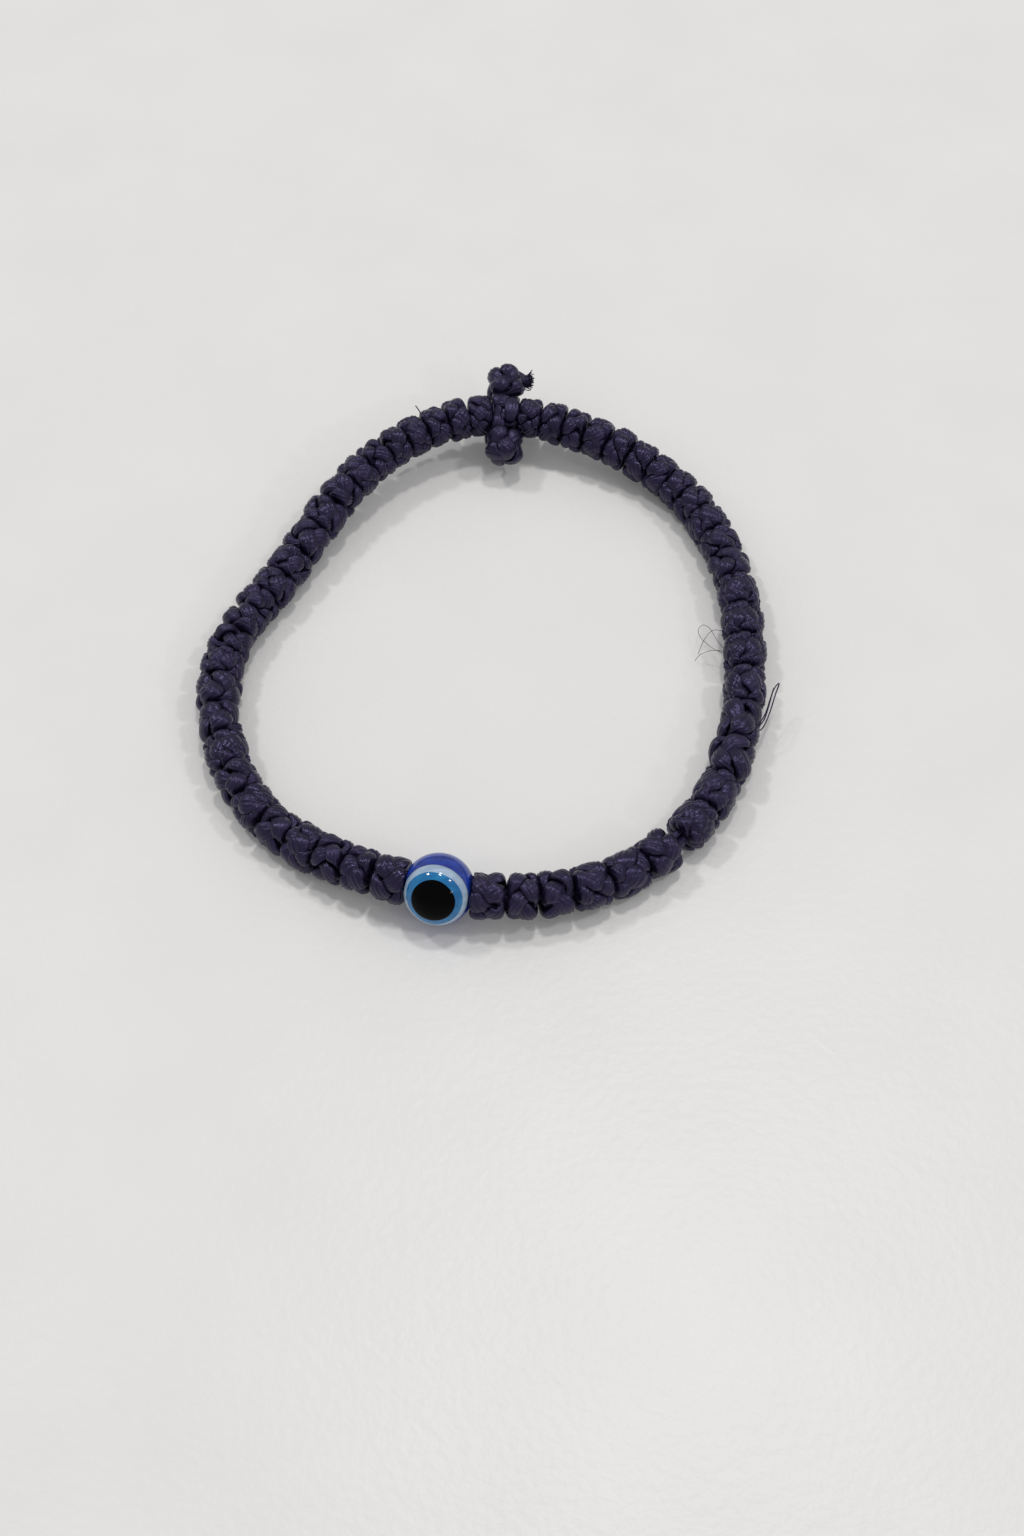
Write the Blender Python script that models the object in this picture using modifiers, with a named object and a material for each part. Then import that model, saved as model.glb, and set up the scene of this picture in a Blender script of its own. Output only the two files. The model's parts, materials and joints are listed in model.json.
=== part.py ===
"""Evil eye bracelet, in metres, +Z up.

A ring of knots tied in waxed cord lies on the XY plane. A knotted cross closes it on the +Y side, and
one eye bead is threaded on the -Y side. Seen from above, the left knots run counter-clockwise from the
cross to the bead and the right knots clockwise. Each neck has an empty on the upright axis it bends about.
"""
import bisect
import math
import random

import bmesh
import bpy
from mathutils import Matrix, Vector

MM = 0.001

# The ring's centre line: its farthest distance from the middle, its shape as shares of that distance at
# 16 even bearings from +X towards +Y, and how far the cord stands off the table at the same bearings.
# Its middle is set back so that the origin is the middle of the whole bracelet, with its cross.
RING_REACH = 36.2 * MM
RING_SHAPE = (0.867, 0.906, 0.970, 0.985, 0.996, 0.894, 0.782, 0.750,
              0.845, 0.915, 0.966, 0.970, 0.995, 1.0, 0.967, 0.895)
RING_LIFTS_MM = (0, 0, 0.25, 1.9, 2.6, 2.4, 1.05, 0.1, 0, 0, 0, 0, 0, 0, 0, 0)
RING_MIDDLE = Vector((0, -1.9 * MM, 0))
CROSS_BEARING = math.radians(86)
BEAD_BEARING = math.radians(262.5)
ROUTE_STEPS = 1440

# Knots. Their lengths follow hand-tied stations (knot number from the cross, length), with a spread.
KNOTS_PER_SIDE = 26
KNOT_DIAMETER = 5.2 * MM
KNOT_SIDES = 10
KNOT_SHOULDER = 0.8 * MM
KNOT_END_DIAMETER = 2.6 * MM
LEFT_LENGTHS_MM = ((1, 3.0), (5, 3.1), (10, 4.2), (13, 3.1), (19, 4.6), (26, 3.3))
RIGHT_LENGTHS_MM = ((1, 3.0), (9, 3.3), (13, 4.5), (17, 5.4), (21, 5.0), (26, 3.2))
LENGTH_SPREAD = 0.06
DIAMETER_SPREAD = 0.03
SEED = 26

# Necks: the bare cord between two knots, which enters a socket in the next knot.
NECK_GAP = 0.4 * MM
BARE_NECK = ("right", 20)
BARE_NECK_GAP = 1.0 * MM
CORD_DIAMETER = 1.4 * MM
CORD_ENTRY = 0.7 * MM
SOCKET_CLEARANCE = 0.35 * MM

# Cross: a woven centre on the ring, an outer and an inner knot, rolled so that the outer knot is higher.
CROSS_CELL = 3.4 * MM
CROSS_REACH = 4.0 * MM
CROSS_THICKNESS = 3.8 * MM
CROSS_ROLL = math.radians(12)
CROSS_EDGE = 0.6 * MM
ARM_GAP = 0.45 * MM
OUTER_ARM_DIAMETER = 5.1 * MM
OUTER_ARM_LENGTH = 4.3 * MM
INNER_ARM_DIAMETER = 4.8 * MM
INNER_ARM_LENGTH = 4.6 * MM

# Eye bead: dots of resin stacked in a pocket, each as (rim angle from the eye's axis, depth of its floor).
BEAD_DIAMETER = 8.0 * MM
BEAD_SIDES = 24
BEAD_BORE = 1.8 * MM
BEAD_PLAY = 0.1 * MM
BEAD_RAMP = 18 * MM
EYE_TILT = math.radians(35)
LAYER_GAP = 0.05 * MM
DOT_TAPER = 0.82
WHITE_DOT = (math.radians(63), 0.45 * MM)
BLUE_DOT = (math.radians(54), 0.70 * MM)
PUPIL_DOT = (math.radians(37.5), 1.0 * MM)

CORD_COLOUR = (0.017, 0.012, 0.035)
COBALT = (0.017, 0.045, 0.35)
MILK_WHITE = (0.42, 0.52, 0.62)
LIGHT_BLUE = (0.008, 0.20, 0.45)
PUPIL_BLACK = (0.004, 0.004, 0.005)
WAXED_ROUGHNESS = 0.5
RESIN_ROUGHNESS = 0.08

UP = Vector((0, 0, 1))
KNOT_RADIUS = KNOT_DIAMETER / 2
FLAT_SHARE = math.cos(math.pi / KNOT_SIDES)
SOCKET_RADIUS = CORD_DIAMETER / 2 + SOCKET_CLEARANCE
SOCKET_DEPTH = CORD_ENTRY + SOCKET_CLEARANCE
BEAD_RADIUS = BEAD_DIAMETER / 2
BEAD_CELL = BEAD_DIAMETER + 2 * BEAD_PLAY


def start_empty():
    """Remove whatever the scene holds, and make the collections of the parts and the cutters."""
    for old in list(bpy.data.objects):
        bpy.data.objects.remove(old, do_unlink=True)
    made = []
    for name in ("evil_eye_bracelet", "cutters"):
        collection = bpy.data.collections.new(name)
        bpy.context.scene.collection.children.link(collection)
        made.append(collection)
    return made


PARTS, CUTTERS = start_empty()


def smooth_at(stations, bearing):
    """Value at a bearing on the smooth closed curve through evenly spaced stations."""
    place = bearing / math.tau * len(stations)
    first = math.floor(place)
    t = place - first
    a, b, c, d = (stations[(first + step) % len(stations)] for step in (-1, 0, 1, 2))
    return b + 0.5 * t * (c - a + t * (2 * a - 5 * b + 4 * c - d + t * (3 * (b - c) + d - a)))


def length_at(stations, number):
    """A knot's length in millimetres, read between the hand-tied stations."""
    numbers = [station[0] for station in stations]
    after = min(max(bisect.bisect_left(numbers, number), 1), len(stations) - 1)
    (n0, l0), (n1, l1) = stations[after - 1], stations[after]
    return l0 + (l1 - l0) * (number - n0) / (n1 - n0)


class Route:
    """The ring's centre line, measured in plan from the cross, counter-clockwise."""

    def __init__(self):
        bearings = [CROSS_BEARING + math.tau * i / ROUTE_STEPS for i in range(ROUTE_STEPS + 1)]
        self.points = []
        for bearing in bearings:
            reach = RING_REACH * smooth_at(RING_SHAPE, bearing)
            lift = max(0.0, smooth_at(RING_LIFTS_MM, bearing)) * MM
            point = Vector((reach * math.cos(bearing), reach * math.sin(bearing), lift))
            self.points.append(RING_MIDDLE + point)
        self.along = [0.0]
        for before, after in zip(self.points, self.points[1:]):
            self.along.append(self.along[-1] + (after - before).xy.length)
        self.total = self.along[-1]
        turn = (BEAD_BEARING - CROSS_BEARING) % math.tau
        self.bead_at = self.along[round(turn / math.tau * ROUTE_STEPS)]

    def at(self, distance):
        """The point at a distance, with its lift: near the bead the cord climbs to the bead's bore."""
        distance %= self.total
        after = min(max(bisect.bisect_right(self.along, distance), 1), ROUTE_STEPS)
        start, end = self.along[after - 1], self.along[after]
        point = self.points[after - 1].lerp(self.points[after], (distance - start) / (end - start))
        away = max(0.0, abs(distance - self.bead_at) - BEAD_CELL / 2)
        if away < BEAD_RAMP:
            climb = 0.5 + 0.5 * math.cos(math.pi * away / BEAD_RAMP)
            point.z += climb * (BEAD_RADIUS - KNOT_RADIUS * FLAT_SHARE)
        return point


ROUTE = Route()


def material(name, colour, roughness):
    """A plain Principled material with one colour."""
    made = bpy.data.materials.new(name)
    made.use_nodes = True
    shader = made.node_tree.nodes["Principled BSDF"]
    shader.inputs["Base Color"].default_value = (*colour, 1)
    shader.inputs["Roughness"].default_value = roughness
    shader.inputs["Metallic"].default_value = 0.0
    made.diffuse_color = (*colour, 1)
    return made


def add_object(name, mesh, colour, roughness):
    """A part with its own material, in the parts' collection."""
    mesh.materials.append(material(name + "_material", colour, roughness))
    part = bpy.data.objects.new(name, mesh)
    PARTS.objects.link(part)
    return part


def put(part, parent, placement):
    """Stand an object or an empty at a world placement, under its parent."""
    part.parent = parent
    above = Matrix(parent["placement"]) if parent else Matrix.Identity(4)
    part.matrix_local = above.inverted() @ placement
    part["placement"] = [list(row) for row in placement]
    return part


def add_empty(name, parent, placement):
    """An empty that carries the pieces on one joint."""
    empty = bpy.data.objects.new(name, None)
    empty.empty_display_size = 2 * MM
    PARTS.objects.link(empty)
    return put(empty, parent, placement)


def placed_between(start, end):
    """A placement midway: local Z runs from start to end and local Y is as near up as it can be."""
    along = (end - start).normalized()
    side = UP.cross(along).normalized()
    axes = Matrix((side, along.cross(side), along)).transposed().to_4x4()
    return Matrix.Translation((start + end) / 2) @ axes


def turned(name, profile, sides, colour, roughness):
    """A solid turned about local Z from a profile of (radius, height), axis to axis, top to bottom."""
    mesh = bpy.data.meshes.new(name)
    mesh.from_pydata([(radius, 0, height) for radius, height in profile],
                     [(i, i + 1) for i in range(len(profile) - 1)], [])
    part = add_object(name, mesh, colour, roughness)
    screw = part.modifiers.new("turn", "SCREW")
    screw.axis = "Z"
    screw.steps = screw.render_steps = sides
    screw.use_merge_vertices = True
    screw.merge_threshold = 0.000001
    return part


def combine(part, cutter, operation):
    """Join or cut a part with a hidden helper solid."""
    for collection in list(cutter.users_collection):
        collection.objects.unlink(cutter)
    CUTTERS.objects.link(cutter)
    cutter.hide_render = True
    cutter.display_type = "WIRE"
    boolean = part.modifiers.new(operation.lower(), "BOOLEAN")
    boolean.operation = operation
    boolean.solver = "EXACT"
    boolean.object = cutter


def add_rod(name, diameter, length, sides, turn):
    """A helper cylinder at the origin, turned from its upright stand."""
    mesh = bpy.data.meshes.new(name)
    shape = bmesh.new()
    bmesh.ops.create_cone(shape, cap_ends=True, segments=sides, radius1=diameter / 2,
                          radius2=diameter / 2, depth=length, matrix=turn)
    shape.to_mesh(mesh)
    shape.free()
    rod = bpy.data.objects.new(name, mesh)
    PARTS.objects.link(rod)
    return rod


def end_profile(end, entry):
    """One end of a knot, axis to rim: a cord that stands out by entry, or a socket where entry is 0."""
    rim = (KNOT_END_DIAMETER / 2, end)
    if entry:
        return [(0, end + entry), (CORD_DIAMETER / 2, end + entry), (CORD_DIAMETER / 2, end), rim]
    return [(0, end - SOCKET_DEPTH), (SOCKET_RADIUS, end - SOCKET_DEPTH), (SOCKET_RADIUS, end), rim]


def knot_profile(diameter, length, entry):
    """A barrel knot: a cord or a socket at the top, two shoulders and a socket at the bottom."""
    half = length / 2
    bottom = [(radius, -height) for radius, height in reversed(end_profile(half, 0))]
    belly = [(diameter / 2, half - KNOT_SHOULDER), (diameter / 2, KNOT_SHOULDER - half)]
    return end_profile(half, entry) + belly + bottom


def add_knot(name, start, end, gaps, diameter, entry, hinge):
    """One ring knot between two neck points, resting on its lowest flat where its lift is zero."""
    rise = UP * (diameter / 2 * FLAT_SHARE)
    start, end = start + rise, end + rise
    along = (end - start).normalized()
    start, end = start + along * gaps[0] / 2, end - along * gaps[1] / 2
    profile = knot_profile(diameter, (end - start).length, entry)
    knot = turned(name, profile, KNOT_SIDES, CORD_COLOUR, WAXED_ROUGHNESS)
    return put(knot, hinge, placed_between(start, end))


def side_cells(side, room):
    """The knots' cells on one side, neck to neck, stretched together to fill the room."""
    spread = random.Random(f"{SEED} {side}")
    stations = LEFT_LENGTHS_MM if side == "left" else RIGHT_LENGTHS_MM
    cells = [length_at(stations, number) * (1 + spread.uniform(-LENGTH_SPREAD, LENGTH_SPREAD))
             for number in range(1, KNOTS_PER_SIDE + 1)]
    return [cell * room / sum(cells) for cell in cells]


def add_side(side, cross):
    """The knots of one side, each under an empty at its neck. Returns the last neck and its empty."""
    sign = 1 if side == "left" else -1
    away = ROUTE.bead_at if side == "left" else ROUTE.total - ROUTE.bead_at
    room = away - BEAD_CELL / 2 - CROSS_CELL / 2
    spread = random.Random(f"{SEED} {side} diameters")
    distance = CROSS_CELL / 2
    gap = NECK_GAP
    hinge = cross
    for number, cell in enumerate(side_cells(side, room), 1):
        start = ROUTE.at(sign * distance)
        distance += cell
        end = ROUTE.at(sign * distance)
        next_gap = BARE_NECK_GAP if (side, number) == BARE_NECK else NECK_GAP
        neck = start + UP * KNOT_RADIUS * FLAT_SHARE
        hinge = add_empty(f"{side}_{number:02d}_hinge", hinge, Matrix.Translation(neck))
        diameter = KNOT_DIAMETER * (1 + spread.uniform(-DIAMETER_SPREAD, DIAMETER_SPREAD))
        last = number == KNOTS_PER_SIDE
        entry = 0 if last else next_gap + CORD_ENTRY
        add_knot(f"knot_{side}_{number:02d}", start, end, (gap, next_gap), diameter, entry, hinge)
        gap = next_gap
    return end + UP * KNOT_RADIUS * FLAT_SHARE, hinge


def cross_placement():
    """Local Z runs along the ring, local Y up and local X inward; rolled so that the outer arm rises."""
    start, end = (ROUTE.at(sign * CROSS_CELL / 2) + UP * KNOT_RADIUS * FLAT_SHARE for sign in (-1, 1))
    return placed_between(start, end) @ Matrix.Rotation(-CROSS_ROLL, 4, "Z")


def add_cross():
    """The woven centre, which holds a cord for each of its four neighbours."""
    mesh = bpy.data.meshes.new("cross_centre")
    shape = bmesh.new()
    size = Matrix.Diagonal((CROSS_REACH, CROSS_THICKNESS, CROSS_CELL - NECK_GAP, 1))
    bmesh.ops.create_cube(shape, size=1, matrix=size)
    shape.to_mesh(mesh)
    shape.free()
    centre = add_object("cross_centre", mesh, CORD_COLOUR, WAXED_ROUGHNESS)
    edge = centre.modifiers.new("soft edges", "BEVEL")
    edge.width = CROSS_EDGE
    edge.segments = 2
    along = CROSS_CELL + NECK_GAP + 2 * CORD_ENTRY
    across = CROSS_REACH + 2 * ARM_GAP + 2 * CORD_ENTRY
    upright = Matrix.Identity(4)
    sideways = Matrix.Rotation(math.pi / 2, 4, "Y")
    placement = cross_placement()
    put(centre, None, placement)
    for name, length, turn in (("ring_cord", along, upright), ("arm_cord", across, sideways)):
        cord = put(add_rod(name, CORD_DIAMETER, length, KNOT_SIDES, turn), None, placement)
        combine(centre, cord, "UNION")
    return centre


def add_arm(name, inward, diameter, length, cross):
    """An arm knot of the cross, on a tilting joint at its neck. Inward is 1, or -1 for the outer arm."""
    placement = Matrix(cross["placement"])
    neck = Matrix.Translation((inward * (CROSS_REACH + ARM_GAP) / 2, 0, 0))
    middle = Matrix.Translation((inward * (CROSS_REACH / 2 + ARM_GAP + length / 2), 0, 0))
    hinge = add_empty(name + "_hinge", cross, placement @ neck)
    arm = turned(name, knot_profile(diameter, length, 0), KNOT_SIDES, CORD_COLOUR, WAXED_ROUGHNESS)
    return put(arm, hinge, placement @ middle @ Matrix.Rotation(math.pi / 2, 4, "Y"))


def dot_pocket(dot, offset):
    """A dot's wall and floor, rim to axis, drawn in by an offset on every side."""
    angle, depth = dot
    rim = (BEAD_RADIUS * math.sin(angle) - offset, BEAD_RADIUS * math.cos(angle))
    floor = rim[1] - depth + offset
    return [rim, (rim[0] * DOT_TAPER, floor), (0, floor)]


def dome(start, end, offset):
    """Points on the bead's sphere between two angles from the eye's axis."""
    steps = max(2, round(BEAD_SIDES * (end - start) / math.tau))
    angles = [start + (end - start) * i / steps for i in range(steps + 1)]
    inset = offset / BEAD_RADIUS
    angles[-1] -= inset
    return [(BEAD_RADIUS * math.sin(angle), BEAD_RADIUS * math.cos(angle)) for angle in angles]


def add_bead(spin):
    """The cobalt body with its bore, and the three dots of the eye in their pockets."""
    pocket = list(reversed(dot_pocket(WHITE_DOT, 0)))
    body = turned("bead_body", pocket[:-1] + dome(WHITE_DOT[0], math.pi, 0), BEAD_SIDES, COBALT,
                  RESIN_ROUGHNESS)
    bore = add_rod("bore_cutter", BEAD_BORE, 2 * BEAD_DIAMETER, 16, Matrix.Rotation(math.pi / 2, 4, "Y"))
    put(body, spin, Matrix(spin["placement"]))
    put(bore, spin, Matrix(spin["placement"]))
    combine(body, bore, "DIFFERENCE")
    for name, dot, inner, colour in (("eye_white_dot", WHITE_DOT, BLUE_DOT, MILK_WHITE),
                                     ("eye_blue_dot", BLUE_DOT, PUPIL_DOT, LIGHT_BLUE)):
        top = list(reversed(dot_pocket(inner, 0)))[:-1] + dome(inner[0], dot[0], LAYER_GAP)
        layer = turned(name, top + dot_pocket(dot, LAYER_GAP)[1:], BEAD_SIDES, colour, RESIN_ROUGHNESS)
        put(layer, spin, Matrix(spin["placement"]))
    top = dome(0, PUPIL_DOT[0], LAYER_GAP)
    pupil = turned("eye_pupil", top + dot_pocket(PUPIL_DOT, LAYER_GAP)[1:], BEAD_SIDES, PUPIL_BLACK,
                   RESIN_ROUGHNESS)
    put(pupil, spin, Matrix(spin["placement"]))


def add_front(left_end, right_end, last_hinge):
    """The bead cord on a hinge at the last left neck, and the bead that spins on it."""
    hinge = add_empty("front_cord_hinge", last_hinge, Matrix.Translation(left_end))
    placement = placed_between(left_end, right_end)
    middle = placement.translation.copy()
    middle.z = BEAD_RADIUS
    length = (right_end - left_end).length + NECK_GAP + 2 * CORD_ENTRY
    half, radius = length / 2, CORD_DIAMETER / 2
    profile = [(0, half), (radius, half), (radius, -half), (0, -half)]
    cord = turned("bead_cord", profile, KNOT_SIDES, CORD_COLOUR, WAXED_ROUGHNESS)
    placement.translation = middle
    put(cord, hinge, placement)
    bore_axis = placement.col[2].xyz
    eye_axis = bore_axis.cross(UP).normalized() * math.cos(EYE_TILT) + UP * math.sin(EYE_TILT)
    axes = Matrix((bore_axis, eye_axis.cross(bore_axis), eye_axis)).transposed().to_4x4()
    add_bead(add_empty("bead_spin_axis", hinge, Matrix.Translation(middle) @ axes))


def build():
    cross = add_cross()
    add_arm("cross_outer_knot", -1, OUTER_ARM_DIAMETER, OUTER_ARM_LENGTH, cross)
    add_arm("cross_inner_knot", 1, INNER_ARM_DIAMETER, INNER_ARM_LENGTH, cross)
    left_end, left_hinge = add_side("left", cross)
    right_end, _ = add_side("right", cross)
    add_front(left_end, right_end, left_hinge)


build()
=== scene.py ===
"""Evil eye bracelet: a ring of knots tied in waxed cord, with one eye bead and a small knotted cross.

The design comes packed as a frame of plain barrels. Here each barrel gives way to the knot it stands for:
one flat cord that runs round and round, over and under itself, as in a Turk's head knot.
"""
import json
import math
import random

import bpy
import numpy as np
from mathutils import Matrix, Vector


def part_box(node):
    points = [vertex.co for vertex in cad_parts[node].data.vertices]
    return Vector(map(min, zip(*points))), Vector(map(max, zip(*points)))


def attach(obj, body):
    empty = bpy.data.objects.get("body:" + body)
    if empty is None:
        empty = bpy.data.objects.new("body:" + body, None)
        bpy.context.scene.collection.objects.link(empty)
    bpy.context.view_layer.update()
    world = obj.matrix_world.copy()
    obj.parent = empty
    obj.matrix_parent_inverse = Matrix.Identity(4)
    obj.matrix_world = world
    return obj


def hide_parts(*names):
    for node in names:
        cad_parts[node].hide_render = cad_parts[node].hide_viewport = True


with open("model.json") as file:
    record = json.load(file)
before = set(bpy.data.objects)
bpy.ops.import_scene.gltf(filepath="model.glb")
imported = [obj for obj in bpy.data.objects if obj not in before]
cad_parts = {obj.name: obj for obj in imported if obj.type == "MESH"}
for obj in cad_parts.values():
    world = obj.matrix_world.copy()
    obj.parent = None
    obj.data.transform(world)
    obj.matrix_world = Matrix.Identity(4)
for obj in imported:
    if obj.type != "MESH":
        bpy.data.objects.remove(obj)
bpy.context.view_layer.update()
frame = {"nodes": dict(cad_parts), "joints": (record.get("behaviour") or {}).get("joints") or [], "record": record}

MM = 0.001
UP = Vector((0, 0, 1))
SEED = 71
BODY_OF = {node: body for body, nodes in frame["record"]["behaviour"]["bodies"].items() for node in nodes}
JOINTS = {joint["name"]: joint for joint in frame["joints"]}

# Mesh counts: corners along a strand and round its section, and how closely those crowd at its crest.
# Corners closer together than SAME_PLACE are one.
STRAND_STEPS = 224
STRAND_SIDES = 36
TOP_SHARE = 0.45
SAME_PLACE = 0.001 * MM
CORE_MESH = (24, 12)
BALL_MESH = (96, 64)
DOT_MESH = (128, 40)

# Strands. RIDGES counts the filament ridges over half a strand's width, RIDGE_HEIGHT is how far they stand.
# A section's height is STRAND_HEIGHT times the first share, plus the second where it runs on top.
STRAND_HEIGHT = 0.95 * MM
STRAND_WIDTH = 1.65 * MM
HEIGHT_SHARES = (0.9, 0.25)
SECTION_POWER = 0.95
WEAVE_DEPTH = 0.40 * MM
RIDGE_HEIGHT = 0.045 * MM
RIDGES = 2.3

# How unevenly a strand lies: its sway round the knot and along it in radians, the shares by which it widens
# on top and widens and rises here and there, and how far the whole knot is out of round.
SWAY_ROUND = (0.10, 0.07)
SWAY_ALONG = 0.12
WIDER_ON_TOP = 0.20
WIDER_IN_PLACES = 0.10
HIGHER_IN_PLACES = 0.05
OUT_OF_ROUND = 0.08 * MM

# Knots. A barrel's corners nearer its axis than NECK_REACH are its neck cord and the socket for the next.
NECK_REACH = 1.2 * MM
FULLNESS = 0.12 * MM
KNOT_PUSH = 0.18 * MM
KNOT_TILT = 0.07

# A knot's turns round its axis and its bights, the bends at each end.
KNOT_KINDS = ((3, 4), (3, 5), (4, 5), (4, 7))

# The share by which strands differ in width, and how much wider they may get in a knot longer than usual.
WIDTH_RANGE = (0.92, 1.12)
WIDEST = 1.15
USUAL_HALF = 2.0 * MM
END_MARGIN = 0.30

# The knots of the cross's arms, and the least height of any knot's points over the table.
ARM_PACKING = 0.3 * MM
INNER_ARM_PUSH = (-0.12 * MM, -0.35 * MM)
TABLE_REST = 0.02 * MM

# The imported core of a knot: its depth under the strands as a share of their height, the power that squares
# it off and its share of the knot's length.
CORE_DEPTH = 0.35
CORE_SQUARENESS = 0.6
CORE_LENGTH = 0.97

# A knot's ends: how sharply its strands turn over them, and for both kinds the reach from the axis at which
# the strands end and the power that keeps the barrel full. Open ends let a neck through, closed ones don't.
END_TURN = 1.2
OPEN_END = (0.8 * MM, 5)
CLOSED_END = (0.2 * MM, 3)

# Strands above PRESS_SHARE of their full height are pressed flat, firmly and with a soft edge.
PRESS_SHARE = 0.85
PRESS_FIRMNESS = 0.8
PRESS_EDGE = 0.06 * MM

# Knots that end short of the usual push, at their start and at their end, to leave room at the hinge that
# turns most and beside the bare neck.
SHORTER = {"knot_right_15": (0.0, -0.2 * MM), "knot_right_16": (-0.2 * MM, 0.0),
           "knot_right_20": (0.0, -0.35 * MM), "knot_right_21": (-0.45 * MM, 0.0)}

# Necks: the cords that show between two knots, as how far they reach and their radius.
CORDS = 3
CORD_RADIUS = 0.36 * MM
CORD_STEPS = 8
NECK = (1.0 * MM, CORD_RADIUS)
BARE_NECK = (2.2 * MM, 0.52 * MM)
BARE_NECK_AFTER = "knot_right_20"
NECK_ROOT = 1.0 * MM
NECK_SPREAD = 1.15

# The bead, and how the two knots beside it are drawn up to it and cupped round it.
BEAD_RADIUS = 4.0 * MM
BORE_RADIUS = 0.9 * MM
MOUTH_SHARE = 1.25
MOUTH_DEPTH = 1.4 * MM
MOUTH_FALL = 0.8
MOUTH_WALL = (1.6, 0.35)
DOT_DEPTH = 0.5 * MM
DOT_EDGE = 0.1
WHITE_RIM, BLUE_RIM, PUPIL_RIM = (math.radians(angle) for angle in (64, 52.5, 38.5))
AT_BEAD = ("knot_left_26", "knot_right_26")
BEAD_PRESS = 0.8 * MM
BEAD_ROOM = 0.25 * MM

# The bands of the cross's centre: the two axes they run round, then their offset, half sizes and width in
# millimetres, where they start to weave, a seed for their ridges and how much they pinch.
CENTRE_BANDS = (("inward", "upward", -0.75, (2.0, 1.5), 1.35, 3.0, 0.0, 0.45),
                ("inward", "upward", 0.75, (2.1, 1.4), 1.5, 0.7, 1.7, 0.5),
                ("inward", "upward", 0.9, (2.0, 1.3), 1.2, -0.9, 3.1, 0.5),
                ("along", "inward", 0.0, (1.45, 1.9), 1.9, 1.2, 2.9, 0.25),
                ("upward", "along", -1.0, (1.30, 1.35), 1.4, 0.0, 4.1, 0.25),
                ("upward", "along", 1.0, (1.30, 1.35), 1.4, 3.14, 5.3, 0.25))
CENTRE_CORE = (1.75, 1.35, 1.35)
CENTRE_TO_ARM = 3.1
CENTRE_TO_RING = 2.4
BAND_SQUARENESS = 0.75
BAND_WEAVE = 0.9 * MM
BAND_SWAY = 0.12 * MM

# The cut cord end, in millimetres: its tip from the middle of the outer knot, and how far its stub bows.
FRAY_TIP = (2.9, 0.05, 0.5)
STUB_BOW = (0.0, 0.2, 0.1)
STUB_RADIUS = 0.85 * MM

# Its filaments: how many, how far inside the tip and from its middle they start, the ranges of the way they
# lean, the share of it at which they bow and by how much, and the range of their length.
HAIRS = 90
HAIR_ROOT = -0.5
HAIR_SPREAD = 0.75
HAIR_LEAN = ((0.7, 1.1), (-0.3, 0.7), (-0.5, 0.7))
HAIR_BEND = 0.55
HAIR_BOW = 0.12
HAIR_LENGTH = (0.8, 1.15)
HAIR_RADIUS = 0.06 * MM

# Threads that stand out of the ring: the knot they come from, their radius in millimetres, and their lines
# as steps of so many millimetres outward, onward and up from the middle of that knot.
THREADS = {
    "outer_thread_loops": ("knot_right_17", 0.08, (
        ((1.5, 1.0, 1.0), (2.5, -0.5, 1.5), (2.8, -2.0, 2.3), (3.0, -4.5, 2.5), (3.5, -6.0, 2.0),
         (3.3, -5.0, 1.0), (3.0, -2.5, 0.2), (2.5, -0.5, 0.0), (1.5, 0.5, 0.2)),
        ((1.5, 0.5, 0.5), (2.5, -1.5, 1.2), (2.8, -3.5, 1.6), (3.0, -5.2, 2.0)))),
    "inner_filaments": ("knot_right_15", 0.03, (
        ((-2.2, 0.0, 0.8), (-3.6, -1.2, 0.2), (-4.5, -2.5, -0.4), (-5.2, -3.8, -0.9), (-5.5, -5.0, -1.0),
         (-5.0, -5.8, -0.9), (-4.2, -5.0, -0.4), (-3.4, -2.8, 0.2), (-2.3, -0.6, 0.6)),
        ((-2.2, -1.0, 0.2), (-4.0, -1.5, -0.4), (-5.3, -1.4, -1.2), (-5.9, -0.8, -1.6)),
        ((-2.2, -4.0, 0.2), (-3.7, -4.5, -0.2), (-4.7, -3.8, -1.0), (-5.5, -2.0, -1.8)))),
    "back_hair": ("knot_left_03", 0.08, (
        ((-0.5, 1.0, 1.0), (0.8, 1.0, 1.8), (1.6, 1.0, 2.1), (2.5, 1.0, 2.1)),)),
    "front_nub": ("knot_left_22", 0.35, (
        ((0.0, -1.0, 0.5), (1.5, -1.4, 0.5), (2.5, -1.6, 0.2)),)),
}

CAMERA_AIM = Vector((3.4, -18.1, 0)) * MM
CAMERA_DISTANCE = 233.2 * MM
CAMERA_ELEVATION = math.radians(55)
LENS = 46.875
SENSOR_WIDTH = 36

# Lamps: the direction they shine from, their distance and size in metres and their power in watts.
LAMPS = {"lamp_left": ((-0.494, 0.326, 0.805), 1.6, 0.17, 4.5),
         "lamp_middle": ((0.099, 0.266, 0.959), 1.6, 0.17, 4.8),
         "lamp_right": ((0.597, 0.015, 0.802), 1.6, 0.14, 2.9),
         "lamp_front": ((0.664, -0.527, 0.531), 1.8, 0.12, 1.4)}
ROOM_COLOUR = "#f2f3f6"
ROOM_LIGHT = 0.61
TABLE_SIZE = 6.0


def start_clean():
    """Nothing selected, so that the next operator works on its own piece only."""
    if bpy.context.object and bpy.context.object.mode != "OBJECT":
        bpy.ops.object.mode_set(mode="OBJECT")
    bpy.ops.object.select_all(action="DESELECT")


def points_of(piece):
    """The corners of a mesh as rows of x, y and z."""
    flat = np.empty(len(piece.data.vertices) * 3)
    piece.data.vertices.foreach_get("co", flat)
    return flat.reshape(-1, 3)


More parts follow.
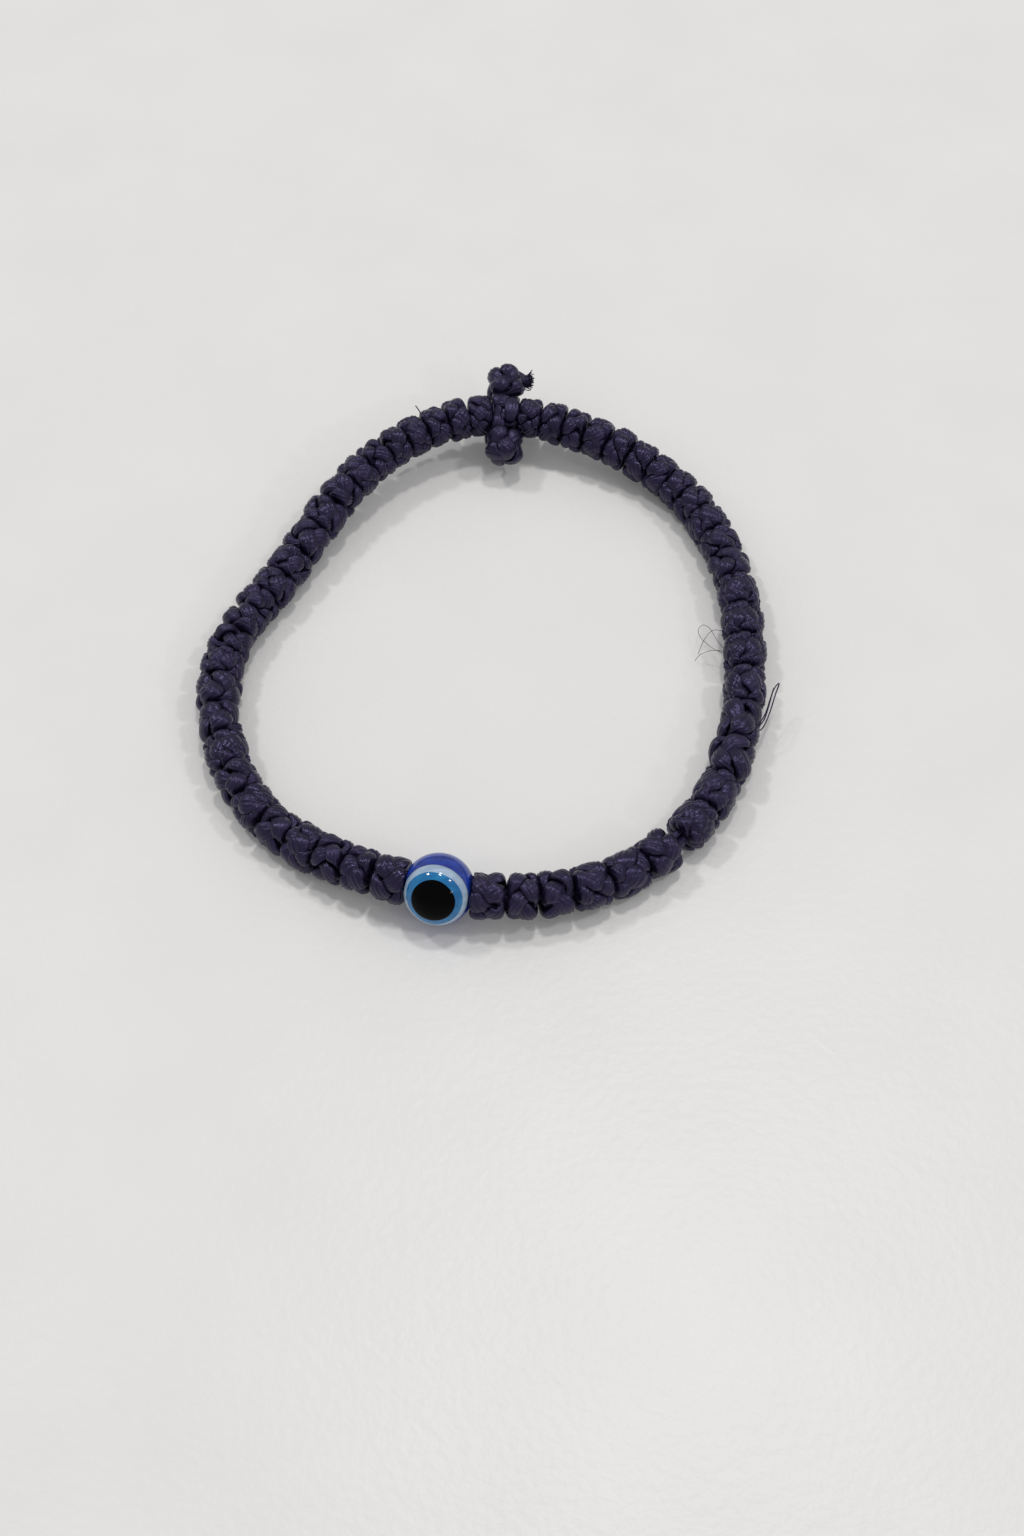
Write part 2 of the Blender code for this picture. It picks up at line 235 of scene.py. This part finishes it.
def move_points(piece, rows):
    """Put the corners of a mesh in new places, smooth shaded."""
    piece.data.vertices.foreach_set("co", np.asarray(rows).ravel())
    piece.data.shade_smooth()
    piece.data.update()


def merge(pieces, name):
    """Join pieces into one mesh under one name."""
    start_clean()
    for piece in pieces:
        piece.select_set(True)
    bpy.context.view_layer.objects.active = pieces[0]
    if len(pieces) > 1:
        bpy.ops.object.join()
    pieces[0].name = pieces[0].data.name = name
    return pieces[0]


def add_ball(mesh, radius=1):
    """A ball to shape further, with so many segments round it and rings from pole to pole."""
    start_clean()
    bpy.ops.mesh.primitive_uv_sphere_add(segments=mesh[0], ring_count=mesh[1], radius=radius)
    return bpy.context.object


# ---------------------------------------------------------------- materials


def linear(code):
    """A hex colour as linear red, green, blue and alpha."""
    shares = [int(code[i:i + 2], 16) / 255 for i in (1, 3, 5)]
    return [c / 12.92 if c <= 0.04045 else ((c + 0.055) / 1.055) ** 2.4 for c in shares] + [1.0]


def add(tree, kind, sockets=None, links=None, **settings):
    """One node: its settings, the values of its sockets and what feeds them."""
    made = tree.nodes.new(kind)
    for name, value in settings.items():
        setattr(made, name, value)
    for name, value in (sockets or {}).items():
        made.inputs[name].default_value = value
    for name, source in (links or {}).items():
        tree.links.new(source, made.inputs[name])
    return made


def new_material(name):
    """An empty material with a Principled shader wired to its output."""
    made = bpy.data.materials.new(name)
    made.use_nodes = True
    tree = made.node_tree
    tree.nodes.clear()
    shader = add(tree, "ShaderNodeBsdfPrincipled")
    add(tree, "ShaderNodeOutputMaterial", links={"Surface": shader.outputs["BSDF"]})
    return made, tree, shader


def stops(ramp, *pairs):
    """Set a colour ramp's stops as (place, hex colour)."""
    elements = ramp.color_ramp.elements
    while len(elements) < len(pairs):
        elements.new(0.5)
    for element, (place, code) in zip(elements, pairs):
        element.position = place
        element.color = linear(code)
    return ramp


def waxed_cord():
    """Waxed polyester cord, dyed violet navy: fine parallel filaments with a waxy sheen, and a painted highlight
    of lighter violet on their crests.
    """
    made, tree, shader = new_material("waxed polyester cord")
    shader.inputs["IOR"].default_value = 1.45
    shader.inputs["Specular IOR Level"].default_value = 0.9
    shader.inputs["Specular Tint"].default_value = linear("#b0a4e0")
    shader.inputs["Sheen Weight"].default_value = 0.03
    shader.inputs["Sheen Roughness"].default_value = 0.45
    shader.inputs["Sheen Tint"].default_value = linear("#7c6fb4")
    where = add(tree, "ShaderNodeTexCoord")
    # about 60 filaments lie side by side round a strand, each some 0.08 mm thick
    laid = add(tree, "ShaderNodeMapping", {"Scale": (9, 60, 1)}, {"Vector": where.outputs["UV"]})
    filaments = add(tree, "ShaderNodeTexNoise", {"Scale": 1.0, "Detail": 3.0, "Roughness": 0.6},
                    {"Vector": laid.outputs["Vector"]})
    # the dye and the wax lie unevenly, in patches of about 2 mm
    patches = add(tree, "ShaderNodeTexNoise", {"Scale": 420.0, "Detail": 4.0, "Roughness": 0.6},
                  {"Vector": where.outputs["Object"]})
    dye = stops(add(tree, "ShaderNodeValToRGB", links={"Fac": patches.outputs["Fac"]}),
                (0.30, "#050409"), (0.52, "#0d0914"), (0.72, "#181225"))
    # painted highlight: where the filament pattern peaks, the dark dye is mixed towards a lighter violet that
    # stands in for light on the filament crests
    crest = stops(add(tree, "ShaderNodeValToRGB", links={"Fac": filaments.outputs["Fac"]}),
                  (0.50, "#000000"), (0.72, "#ffffff"))
    colour = add(tree, "ShaderNodeMix", {"B": linear("#2e2648")},
                 {"Factor": crest.outputs["Color"], "A": dye.outputs["Color"]}, data_type="RGBA")
    tree.links.new(colour.outputs["Result"], shader.inputs["Base Color"])
    wax = add(tree, "ShaderNodeMapRange", {"From Min": 0.3, "From Max": 0.7, "To Min": 0.20, "To Max": 0.34},
              {"Value": patches.outputs["Fac"]})
    tree.links.new(wax.outputs["Result"], shader.inputs["Roughness"])
    grain = add(tree, "ShaderNodeBump", {"Strength": 0.55, "Distance": 0.06 * MM},
                {"Height": filaments.outputs["Fac"]})
    # pulling the knot tight leaves shallow dents, about 1 mm apart
    lumps = add(tree, "ShaderNodeTexNoise", {"Scale": 1100.0, "Detail": 2.0},
                {"Vector": where.outputs["Object"]})
    pressed = add(tree, "ShaderNodeBump", {"Strength": 0.3, "Distance": 0.10 * MM},
                  {"Height": lumps.outputs["Fac"], "Normal": grain.outputs["Normal"]})
    tree.links.new(pressed.outputs["Normal"], shader.inputs["Normal"])
    return made


def polished_resin(name, dark, light, swirl, roughness=0.07, depth=0.0, shine=0.45):
    """Cast resin, tumbled to a gloss: an even colour with faint swirls from the pour and tiny rub marks."""
    made, tree, shader = new_material(name)
    shader.inputs["IOR"].default_value = 1.5
    shader.inputs["Specular IOR Level"].default_value = shine
    shader.inputs["Subsurface Weight"].default_value = depth
    shader.inputs["Subsurface Radius"].default_value = (0.25, 0.5, 1.0)
    shader.inputs["Subsurface Scale"].default_value = 1.2 * MM
    where = add(tree, "ShaderNodeTexCoord")
    # the pour's swirls are drawn out into streaks about 1.5 mm wide and some three times as long
    drawn = add(tree, "ShaderNodeMapping", {"Scale": (260, 700, 700), "Rotation": (0.3, 0.5, 0.4)},
                {"Vector": where.outputs["Object"]})
    streaks = add(tree, "ShaderNodeTexNoise", {"Scale": 1.0, "Detail": 2.0, "Distortion": 1.2},
                  {"Vector": drawn.outputs["Vector"]})
    tone = stops(add(tree, "ShaderNodeValToRGB", links={"Fac": streaks.outputs["Fac"]}),
                 (0.35, dark), (0.35 + swirl, light))
    tree.links.new(tone.outputs["Color"], shader.inputs["Base Color"])
    rubs = add(tree, "ShaderNodeTexNoise", {"Scale": 900.0, "Detail": 5.0},
               {"Vector": where.outputs["Object"]})
    gloss = add(tree, "ShaderNodeMapRange",
                {"From Min": 0.35, "From Max": 0.7, "To Min": roughness, "To Max": roughness + 0.07},
                {"Value": rubs.outputs["Fac"]})
    tree.links.new(gloss.outputs["Result"], shader.inputs["Roughness"])
    dents = add(tree, "ShaderNodeBump", {"Strength": 0.06, "Distance": 0.05 * MM},
                {"Height": rubs.outputs["Fac"]})
    tree.links.new(dents.outputs["Normal"], shader.inputs["Normal"])
    return made


def pale_laminate():
    """Pale laminate with a soft gloss: an even off-white with the slight orange peel of a pressed sheet."""
    made, tree, shader = new_material("pale laminate")
    where = add(tree, "ShaderNodeTexCoord")
    clouds = add(tree, "ShaderNodeTexNoise", {"Scale": 60.0, "Detail": 4.0},
                 {"Vector": where.outputs["Object"]})
    tone = stops(add(tree, "ShaderNodeValToRGB", links={"Fac": clouds.outputs["Fac"]}),
                 (0.3, "#e2e0dd"), (0.7, "#e5e3e0"))
    tree.links.new(tone.outputs["Color"], shader.inputs["Base Color"])
    shader.inputs["Roughness"].default_value = 0.36
    shader.inputs["Specular IOR Level"].default_value = 0.3
    peel = add(tree, "ShaderNodeTexNoise", {"Scale": 900.0, "Detail": 4.0},
               {"Vector": where.outputs["Object"]})
    bump = add(tree, "ShaderNodeBump", {"Strength": 0.6, "Distance": 0.12 * MM},
               {"Height": peel.outputs["Fac"]})
    tree.links.new(bump.outputs["Normal"], shader.inputs["Normal"])
    return made


CORD = waxed_cord()


def dress(piece, name, material, node, stands_in=True):
    """Give a piece its name, material and slot. It rides with a CAD part's body and may stand in for it."""
    piece.name = piece.data.name = name
    piece.data.materials.clear()
    piece.data.materials.append(material)
    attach(piece, BODY_OF[node])
    if stands_in:
        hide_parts(node)


# ---------------------------------------------------------------- camera and light


def set_camera():
    """A near view from the front, 55 degrees down on the table."""
    data = bpy.data.cameras.new("camera")
    data.lens = LENS
    data.sensor_width = SENSOR_WIDTH
    data.clip_start = 0.01
    data.clip_end = 20
    camera = bpy.data.objects.new("camera", data)
    bpy.context.scene.collection.objects.link(camera)
    away = Vector((0, -math.cos(CAMERA_ELEVATION), math.sin(CAMERA_ELEVATION)))
    camera.location = CAMERA_AIM + away * CAMERA_DISTANCE
    camera.rotation_euler = (math.pi / 2 - CAMERA_ELEVATION, 0, 0)
    bpy.context.scene.camera = camera


def add_lamp(name, direction, distance, size, watts):
    """A round white lamp that shines on the bracelet from a direction."""
    data = bpy.data.lights.new(name, "AREA")
    data.shape = "DISK"
    data.size = size
    data.energy = watts
    lamp = bpy.data.objects.new(name, data)
    bpy.context.scene.collection.objects.link(lamp)
    lamp.location = Vector(direction).normalized() * distance
    lamp.rotation_euler = Vector(direction).to_track_quat("Z", "Y").to_euler()


def set_light():
    """Ceiling lamps behind, above and to the right, over the even light of a pale room."""
    for name, lamp in LAMPS.items():
        add_lamp(name, *lamp)
    bpy.context.scene.view_settings.view_transform = "Standard"
    world = bpy.data.worlds.new("pale room")
    bpy.context.scene.world = world
    world.use_nodes = True
    background = world.node_tree.nodes["Background"]
    background.inputs["Color"].default_value = linear(ROOM_COLOUR)
    background.inputs["Strength"].default_value = ROOM_LIGHT


def lay_table():
    """The plain pale table top, under the lowest knots."""
    start_clean()
    bpy.ops.mesh.primitive_plane_add(size=TABLE_SIZE, location=(0, 0, 0))
    table = bpy.context.object
    table.name = "table_top"
    table.data.materials.append(pale_laminate())


# ---------------------------------------------------------------- where the CAD parts are


def corners_of(node):
    """The corners of a CAD part, each once."""
    return np.unique(points_of(frame["nodes"][node]).round(7), axis=0)


def middle_of(node):
    """The middle of a CAD part's box."""
    low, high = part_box(node)
    return (low + high) / 2


def side_nodes(side):
    """The knots of one side in order from the cross."""
    return sorted(node for node in frame["nodes"] if node.startswith(f"knot_{side}_"))


def barrel(node, ahead):
    """Start, end and radius of a turned part: its axis is the one way its corners spread differently."""
    corners = corners_of(node)
    middle = corners.mean(axis=0)
    spread, ways = np.linalg.eigh(np.cov((corners - middle).T))
    axis = ways[:, 0] if spread[1] - spread[0] > spread[2] - spread[1] else ways[:, 2]
    axis = axis * np.sign(axis @ np.array(ahead))
    along = (corners - middle) @ axis
    reach = np.linalg.norm(corners - middle - np.outer(along, axis), axis=1)
    outer = along[reach > NECK_REACH]
    return Vector(middle + axis * outer.min()), Vector(middle + axis * outer.max()), reach.max()


def axes_along(start, end):
    """Side, up and along as columns, with along from start to end and up as near upright as it can be."""
    along = (end - start).normalized()
    side = UP.cross(along)
    side = side.normalized() if side.length > 0.1 else Vector((1, 0, 0))
    return np.array([side, along.cross(side), along]).T


def cross_axes():
    """Inward, upward and along the ring at the cross."""
    inward = (middle_of("cross_inner_knot") - middle_of("cross_outer_knot")).normalized()
    along = middle_of("knot_left_01") - middle_of("knot_right_01")
    along = (along - inward * along.dot(inward)).normalized()
    return {"inward": np.array(inward), "upward": np.array(along.cross(inward)), "along": np.array(along)}


def bead_axes():
    """The bead's middle, and the directions of its bore and of its eye."""
    spin = JOINTS["bead_spin"]
    middle = np.array(spin["pos_m"])
    bore = np.array(spin["axis"]) / np.linalg.norm(spin["axis"])
    eye = corners_of("eye_pupil").mean(axis=0) - middle
    eye = eye - bore * (eye @ bore)
    eye = eye / np.linalg.norm(eye)
    return middle, bore, eye


# ---------------------------------------------------------------- cords and strands


def draw_tubes(lines, radius, steps=2):
    """Round cords along lists of points, with closed ends, as one mesh."""
    data = bpy.data.curves.new("cords", "CURVE")
    data.dimensions = "3D"
    data.bevel_depth = radius
    data.bevel_resolution = steps
    data.use_fill_caps = True
    for line in lines:
        spline = data.splines.new("POLY")
        spline.points.add(len(line) - 1)
        for point, place in zip(spline.points, line):
            point.co = (*place, 1)
    tubes = bpy.data.objects.new("cords", data)
    bpy.context.scene.collection.objects.link(tubes)
    start_clean()
    tubes.select_set(True)
    bpy.context.view_layer.objects.active = tubes
    bpy.ops.object.convert(target="MESH")
    bpy.ops.object.mode_set(mode="EDIT")
    bpy.ops.mesh.select_all(action="SELECT")
    bpy.ops.mesh.remove_doubles(threshold=SAME_PLACE)
    bpy.ops.mesh.normals_make_consistent(inside=False)
    bpy.ops.object.mode_set(mode="OBJECT")
    tubes.data.shade_smooth()
    return tubes


def twist_cords(start, end, ring=CORD_RADIUS, radius=CORD_RADIUS, twist=1.0):
    """Cords laid up side by side round the line from start to end."""
    axes = axes_along(start, end)
    length = (end - start).length
    lines = []
    for number in range(CORDS):
        line = []
        for step in range(CORD_STEPS + 1):
            share = step / CORD_STEPS
            angle = math.tau * number / CORDS + twist * share
            place = Vector(axes @ np.array([math.cos(angle) * ring, math.sin(angle) * ring, length * share]))
            line.append(start + place)
        lines.append(line)
    return draw_tubes(lines, radius)


def lay_neck(start, end, reach, radius):
    """The cords of a neck, from inside the knot that runs from start to end to inside the next."""
    along = (end - start).normalized()
    return twist_cords(end - along * NECK_ROOT, end + along * reach, radius * NECK_SPREAD, radius)


def section_angles():
    """Angles round a strand's section, from its crest, closer together where its filaments show."""
    even = np.arange(STRAND_SIDES) / STRAND_SIDES * math.tau
    return even - TOP_SHARE * np.sin(even)


def add_strand(steps, radius):
    """A ring of strand to bend into shape, and for each of its corners the angles along and round it."""
    start_clean()
    bpy.ops.mesh.primitive_torus_add(major_segments=steps, minor_segments=STRAND_SIDES,
                                     major_radius=radius, minor_radius=STRAND_HEIGHT / 2)
    way = np.repeat(np.arange(steps) / steps, STRAND_SIDES) * math.tau
    return bpy.context.object, way, np.tile(section_angles(), steps)


# ---------------------------------------------------------------- knots


def on_barrel(along, half, radius, closed):
    """How far from the axis and along it a strand's point lies: full to near both ends, then drawn in."""
    end_reach, fullness = CLOSED_END if closed else OPEN_END
    bend = np.clip(along / half * END_TURN, -math.pi / 2, math.pi / 2)
    place = np.clip(np.sin(bend) / math.sin(END_TURN), -1.0, 1.0)
    reach = end_reach + (radius - end_reach) * np.sqrt(1 - np.abs(place) ** fullness)
    return reach, half * place


def press_flat(above, limit):
    """Flatten what stands higher than the limit, as the knot's strands are once it is pulled tight."""
    return above - PRESS_FIRMNESS * PRESS_EDGE * np.log1p(np.exp((above - limit) / PRESS_EDGE))


def tie_strand(half, radius, turns, bights, hand, roll, width, spread, closed):
    """One flat cord round a barrel about local Z: it makes some turns while it runs end to end, over and
    under itself, and its own filaments stand up in ridges."""
    strand, way, section = add_strand(STRAND_STEPS, radius)
    # the sixth is drawn for the sake of the draws after it only
    phases = [spread.uniform(0, math.tau) for _ in range(6)]
    swing = half - width * END_MARGIN
    core = radius + FULLNESS - WEAVE_DEPTH - STRAND_HEIGHT / 2
    wander = SWAY_ROUND[0] * np.sin(2 * way + phases[0]) + SWAY_ROUND[1] * np.sin(5 * way + phases[1])
    turn = hand * turns * way + roll + wander
    along = swing * np.cos(bights * way + SWAY_ALONG * np.sin(way + phases[2]))
    over = np.sin((turns - 1) * bights * way)
    turn_rate = hand * turns * np.ones_like(way) * core
    along_rate = -swing * bights * np.sin(bights * way)
    pace = np.hypot(turn_rate, along_rate)
    across_turn, across_along = -along_rate / pace, turn_rate / pace
    fullness = 1 + WIDER_ON_TOP * over + WIDER_IN_PLACES * np.sin(3 * way + phases[3])
    across = np.sin(section) * width / 2 * fullness
    top = np.cos(section)
    ridge = RIDGE_HEIGHT * np.cos(RIDGES * math.tau * np.sin(section) + 5 * way + phases[4]) * top
    share = HEIGHT_SHARES[0] + HEIGHT_SHARES[1] * over
    lift = STRAND_HEIGHT / 2 * np.sign(top) * np.abs(top) ** SECTION_POWER * share
    reach, height = on_barrel(along + across_along * across, half, core, closed)
    above = WEAVE_DEPTH * over + lift * (1 + HIGHER_IN_PLACES * np.sin(9 * way))
    if not closed:
        above = press_flat(above, PRESS_SHARE * (WEAVE_DEPTH + STRAND_HEIGHT / 2))
    reach = reach + above + ridge
    reach = reach + OUT_OF_ROUND * np.sin(2 * turn + phases[1])
    angle = turn + across_turn * across / core
    move_points(strand, np.stack([reach * np.cos(angle), reach * np.sin(angle), height], axis=1))
    return strand


def fill_core(half, radius):
    """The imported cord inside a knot, which closes the gaps between its strands."""
    core = add_ball(CORE_MESH)
    rows = points_of(core)
    inner = radius - 2 * WEAVE_DEPTH - STRAND_HEIGHT * CORE_DEPTH
    squared = np.abs(rows[:, 2]) ** CORE_SQUARENESS * np.sign(rows[:, 2])
    height = squared * half * CORE_LENGTH
    move_points(core, np.stack([rows[:, 0] * inner, rows[:, 1] * inner, height], axis=1))
    return core


def press_round_bead(rows):
    """Push a knot's points out of the bead, which leaves the knot's end cupped round it."""
    middle = np.array(JOINTS["bead_spin"]["pos_m"])
    away = rows - middle
    reach = np.linalg.norm(away, axis=1)
    return middle + away * np.maximum(1.0, (BEAD_RADIUS + BEAD_ROOM) / reach)[:, None]


def tie_knot(node, ahead, neck=None, turns=3, bights=4, seed=0, hand=1, push=(0.0, 0.0), closed=False):
    """The knot that stands for one CAD barrel, with the neck cord to the next knot if it has one."""
    start, end, radius = barrel(node, ahead)
    along = (end - start).normalized()
    start = start - along * (KNOT_PUSH + push[0])
    end = end + along * (KNOT_PUSH + push[1])
    spread = random.Random(f"{SEED} {node} {seed}")
    half = (end - start).length / 2
    width = STRAND_WIDTH * spread.uniform(*WIDTH_RANGE) * min(WIDEST, (half / USUAL_HALF) ** 0.5)
    roll = spread.uniform(0, math.tau)
    parts = [tie_strand(half, radius, turns, bights, hand, roll, width, spread, closed),
             fill_core(half, radius + (ARM_PACKING if closed else 0.0))]
    axes = axes_along(start, end)
    nod = Matrix.Rotation(spread.uniform(-KNOT_TILT, KNOT_TILT), 3, "X")
    lean = Matrix.Rotation(spread.uniform(-KNOT_TILT, KNOT_TILT), 3, "Y")
    tilt = np.array(nod @ lean)
    middle = np.array((start + end) / 2)
    for part in parts:
        move_points(part, points_of(part) @ tilt.T @ axes.T + middle)
    if neck:
        parts.append(lay_neck(start, end, *neck))
    knot = merge(parts, "tied_" + node)
    rows = points_of(knot)
    rows[:, 2] = np.maximum(rows[:, 2], TABLE_REST)
    if node in AT_BEAD:
        rows = press_round_bead(rows)
    move_points(knot, rows)
    dress(knot, "tied_" + node, CORD, node)


def tie_side(side):
    """All knots of one side. Each goes the way its neighbours lie, and the last is drawn up to the bead."""
    nodes = side_nodes(side)
    line = [middle_of("cross_centre")] + [middle_of(node) for node in nodes] + [middle_of("bead_body")]
    for number, node in enumerate(nodes):
        ahead = line[number + 2] - line[number]
        spread = random.Random(f"{SEED} kind {node}")
        kind = spread.choice(KNOT_KINDS)
        hand = spread.choice((1, -1))
        if node in AT_BEAD:
            neck, push = None, (0.0, BEAD_PRESS)
        else:
            neck = BARE_NECK if node == BARE_NECK_AFTER else NECK
            push = SHORTER.get(node, (0.0, 0.0))
        tie_knot(node, ahead, neck, *kind, hand=hand, push=push)


# ---------------------------------------------------------------- cross


def weave_band(first, second, offset, halves, width, weave, seed, pinch):
    """A flat cord that goes once round the cross's centre, in the plane of two of its axes."""
    band, way, section = add_strand(STRAND_STEPS // 2, halves[0])
    over = np.cos(2 * way + weave)
    across = np.sin(section) * width / 2 * (1 + pinch * over)
    top = np.cos(section)
    ridge = RIDGE_HEIGHT * np.cos(RIDGES * math.tau * np.sin(section) + 3 * way + seed) * top
    lift = STRAND_HEIGHT / 2 * top + ridge + BAND_WEAVE * pinch * over
    third = np.cross(first, second)
    flat = [np.sign(wave) * np.abs(wave) ** BAND_SQUARENESS for wave in (np.cos(way), np.sin(way))]
    out = np.outer(np.cos(way), first) + np.outer(np.sin(way), second)
    rows = np.outer(flat[0] * halves[0], first) + np.outer(flat[1] * halves[1], second)
    rows = rows + out * lift[:, None] + np.outer(offset + across + BAND_SWAY * np.sin(3 * way + seed), third)
    move_points(band, rows)
    return band


def weave_centre():
    """Cords that run between the arms, and cords along the ring and round it, woven over and under."""
    axes = cross_axes()
    middle = middle_of("cross_centre")
    parts = []
    for first, second, offset, halves, width, weave, seed, pinch in CENTRE_BANDS:
        halves = [size * MM for size in halves]
        band = weave_band(axes[first], axes[second], offset * MM, halves, width * MM, weave, seed, pinch)
        parts.append(band)
    core = add_ball(CORE_MESH)
    reach = np.array(CENTRE_CORE) * MM
    move_points(core, (points_of(core) * reach) @ np.array(list(axes.values())))
    parts.append(core)
    for part in parts:
        move_points(part, points_of(part) + np.array(middle))
    for way, reach in (("inward", CENTRE_TO_ARM), ("inward", -CENTRE_TO_ARM),
                       ("along", CENTRE_TO_RING), ("along", -CENTRE_TO_RING)):
        parts.append(twist_cords(middle, Vector(np.array(middle) + axes[way] * reach * MM)))
    centre = merge(parts, "woven_cross_centre")
    dress(centre, "woven_cross_centre", CORD, "cross_centre")


def tie_arms():
    """The outer and the inner knot of the cross."""
    inward = middle_of("cross_inner_knot") - middle_of("cross_outer_knot")
    tie_knot("cross_outer_knot", -inward, seed=3, closed=True)
    tie_knot("cross_inner_knot", inward, seed=5, push=INNER_ARM_PUSH, closed=True)


# ---------------------------------------------------------------- bead


def cast_body():
    """The cobalt ball, whose poles are drawn in to the rounded mouths of its bore."""
    middle, bore, eye = bead_axes()
    ball = add_ball(BALL_MESH, BEAD_RADIUS)
    rows = points_of(ball)
    height = rows[:, 2] / BEAD_RADIUS
    angle = np.arccos(np.clip(np.abs(height), 0, 1))
    lip = math.asin(BORE_RADIUS / BEAD_RADIUS) * MOUTH_SHARE
    inside = angle < lip
    around = np.arctan2(rows[:, 1], rows[:, 0])
    share = np.clip(angle / lip, 0, 1)
    depth = BEAD_RADIUS * math.cos(lip) - MOUTH_DEPTH * (1 - share) ** MOUTH_FALL
    reach = BEAD_RADIUS * math.sin(lip) * np.clip(share * MOUTH_WALL[0], 0, 1) ** MOUTH_WALL[1]
    rows[inside, 0] = (reach * np.cos(around))[inside]
    rows[inside, 1] = (reach * np.sin(around))[inside]
    rows[inside, 2] = (depth * np.sign(height))[inside]
    axes = np.array([np.cross(eye, bore), eye, bore])
    move_points(ball, rows @ axes + middle)
    cobalt = polished_resin("cobalt resin", "#122a7c", "#1f3fa2", 0.30, depth=0.2)
    dress(ball, "bead_ball", cobalt, "bead_body")


def pour_dot(name, node, rim, rise, material, waves):
    """One drop of resin on the ball: a lens from its slightly wavy rim, a hair proud of what is under it."""
    middle, bore, eye = bead_axes()
    dot = add_ball(DOT_MESH)
    rows = points_of(dot)
    tilt = np.arccos(np.clip(rows[:, 2], -1, 1))
    around = np.arctan2(rows[:, 1], rows[:, 0])
    edge = rim * (1 + sum(size * np.sin(count * around + phase) for count, size, phase in waves))
    upper = np.clip(tilt / (math.pi / 2), 0, 1)
    lower = np.clip((math.pi - tilt) / (math.pi / 2), 0, 1)
    angle = edge * np.where(tilt <= math.pi / 2, upper, lower)
    fall = np.clip((upper - (1 - DOT_EDGE)) / DOT_EDGE, 0, 1) ** 2
    top = BEAD_RADIUS + rise * (1 - fall)
    under = BEAD_RADIUS - DOT_DEPTH * (1 - lower ** 8)
    reach = np.where(tilt <= math.pi / 2, top, under)
    side = np.cross(eye, bore)
    ways = np.outer(np.sin(angle) * np.cos(around), bore) + np.outer(np.sin(angle) * np.sin(around), side)
    ways = ways + np.outer(np.cos(angle), eye)
    move_points(dot, middle + ways * reach[:, None])
    dress(dot, name, material, node)


def thread_bead():
    """The cords through the bead, as long as the CAD's bead cord."""
    middle, bore, _ = bead_axes()
    along = (corners_of("bead_cord") - middle) @ bore
    cords = twist_cords(Vector(middle + bore * along.min()), Vector(middle + bore * along.max()), twist=3.0)
    dress(cords, "cords_through_bead", CORD, "bead_cord")


def cast_bead():
    """The ball, the three drops of its eye and the cord through it."""
    cast_body()
    white = polished_resin("milky white resin", "#8fa6c0", "#b3c4d6", 0.4, depth=0.15)
    blue = polished_resin("light blue resin", "#0a5f96", "#1580b8", 0.4)
    black = polished_resin("black resin", "#010102", "#040406", 0.4, roughness=0.05, shine=0.05)
    pour_dot("eye_white", "eye_white_dot", WHITE_RIM, 0.012 * MM, white,
             ((2, 0.015, 0.4), (3, 0.010, 1.9)))
    pour_dot("eye_blue", "eye_blue_dot", BLUE_RIM, 0.020 * MM, blue,
             ((2, 0.018, 2.2), (3, 0.012, 0.3), (7, 0.004, 1.0)))
    pour_dot("eye_black", "eye_pupil", PUPIL_RIM, 0.028 * MM, black,
             ((2, 0.012, 1.2), (3, 0.014, 2.4), (5, 0.006, 0.2)))
    thread_bead()


# ---------------------------------------------------------------- threads


def smooth_line(points, steps=10):
    """Points on a smooth curve through given points, in millimetres, as metres."""
    points = [Vector(point) * MM for point in points]
    padded = [points[0] * 2 - points[1]] + points + [points[-1] * 2 - points[-2]]
    line = []
    for a, b, c, d in zip(padded, padded[1:], padded[2:], padded[3:]):
        for step in range(steps):
            t = step / steps
            line.append(b + 0.5 * t * (c - a + t * (2 * a - 5 * b + 4 * c - d + t * (3 * (b - c) + d - a))))
    return line + [points[-1]]


def beside_knot(node, steps):
    """Points beside a ring knot, each so many millimetres outward, onward and up from its middle."""
    nodes = side_nodes("left" if "_left_" in node else "right")
    number = nodes.index(node)
    onward = middle_of(nodes[number + 1]) - middle_of(nodes[number - 1])
    onward = Vector((onward.x, onward.y, 0)).normalized()
    outward = onward.cross(UP)
    middle = middle_of(node)
    if outward.dot(middle) < 0:
        outward = -outward
    return [middle / MM + outward * out + onward * on + UP * up for out, on, up in steps]


def loose_ends(name, node, lines, radius):
    """Loose threads or a cut cord's end, which move with the knot they come out of."""
    threads = draw_tubes([smooth_line(line) for line in lines], radius, 1)
    dress(threads, name, CORD, node, stands_in=False)


def fray_outer_knot():
    """The cut end of the cord, which stands out of the cross's outer knot and opens into filaments."""
    root = middle_of("cross_outer_knot") / MM
    tip = root + Vector(FRAY_TIP)
    stub = [root, (root + tip) / 2 + Vector(STUB_BOW), tip]
    loose_ends("cut_cord_end", "cross_outer_knot", [stub], STUB_RADIUS)
    spread = random.Random(f"{SEED} fray")
    hairs = []
    for _ in range(HAIRS):
        lean = Vector([spread.uniform(*span) for span in HAIR_LEAN])
        aside = [spread.uniform(-HAIR_SPREAD, HAIR_SPREAD) for _ in range(2)]
        foot = tip + Vector((HAIR_ROOT, *aside))
        bow = Vector([spread.uniform(-HAIR_BOW, HAIR_BOW) for _ in range(3)])
        hairs.append([foot, foot + lean * HAIR_BEND + bow, foot + lean * spread.uniform(*HAIR_LENGTH)])
    loose_ends("frayed_filaments", "cross_outer_knot", hairs, HAIR_RADIUS)


def pull_threads():
    """Threads that stand out of the ring: two thin loops, fine filaments, a hair and a nub of cord."""
    for name, (node, radius, lines) in THREADS.items():
        loose_ends(name, node, [beside_knot(node, line) for line in lines], radius * MM)


set_camera()
set_light()
lay_table()
tie_side("left")
tie_side("right")
weave_centre()
tie_arms()
cast_bead()
fray_outer_knot()
pull_threads()
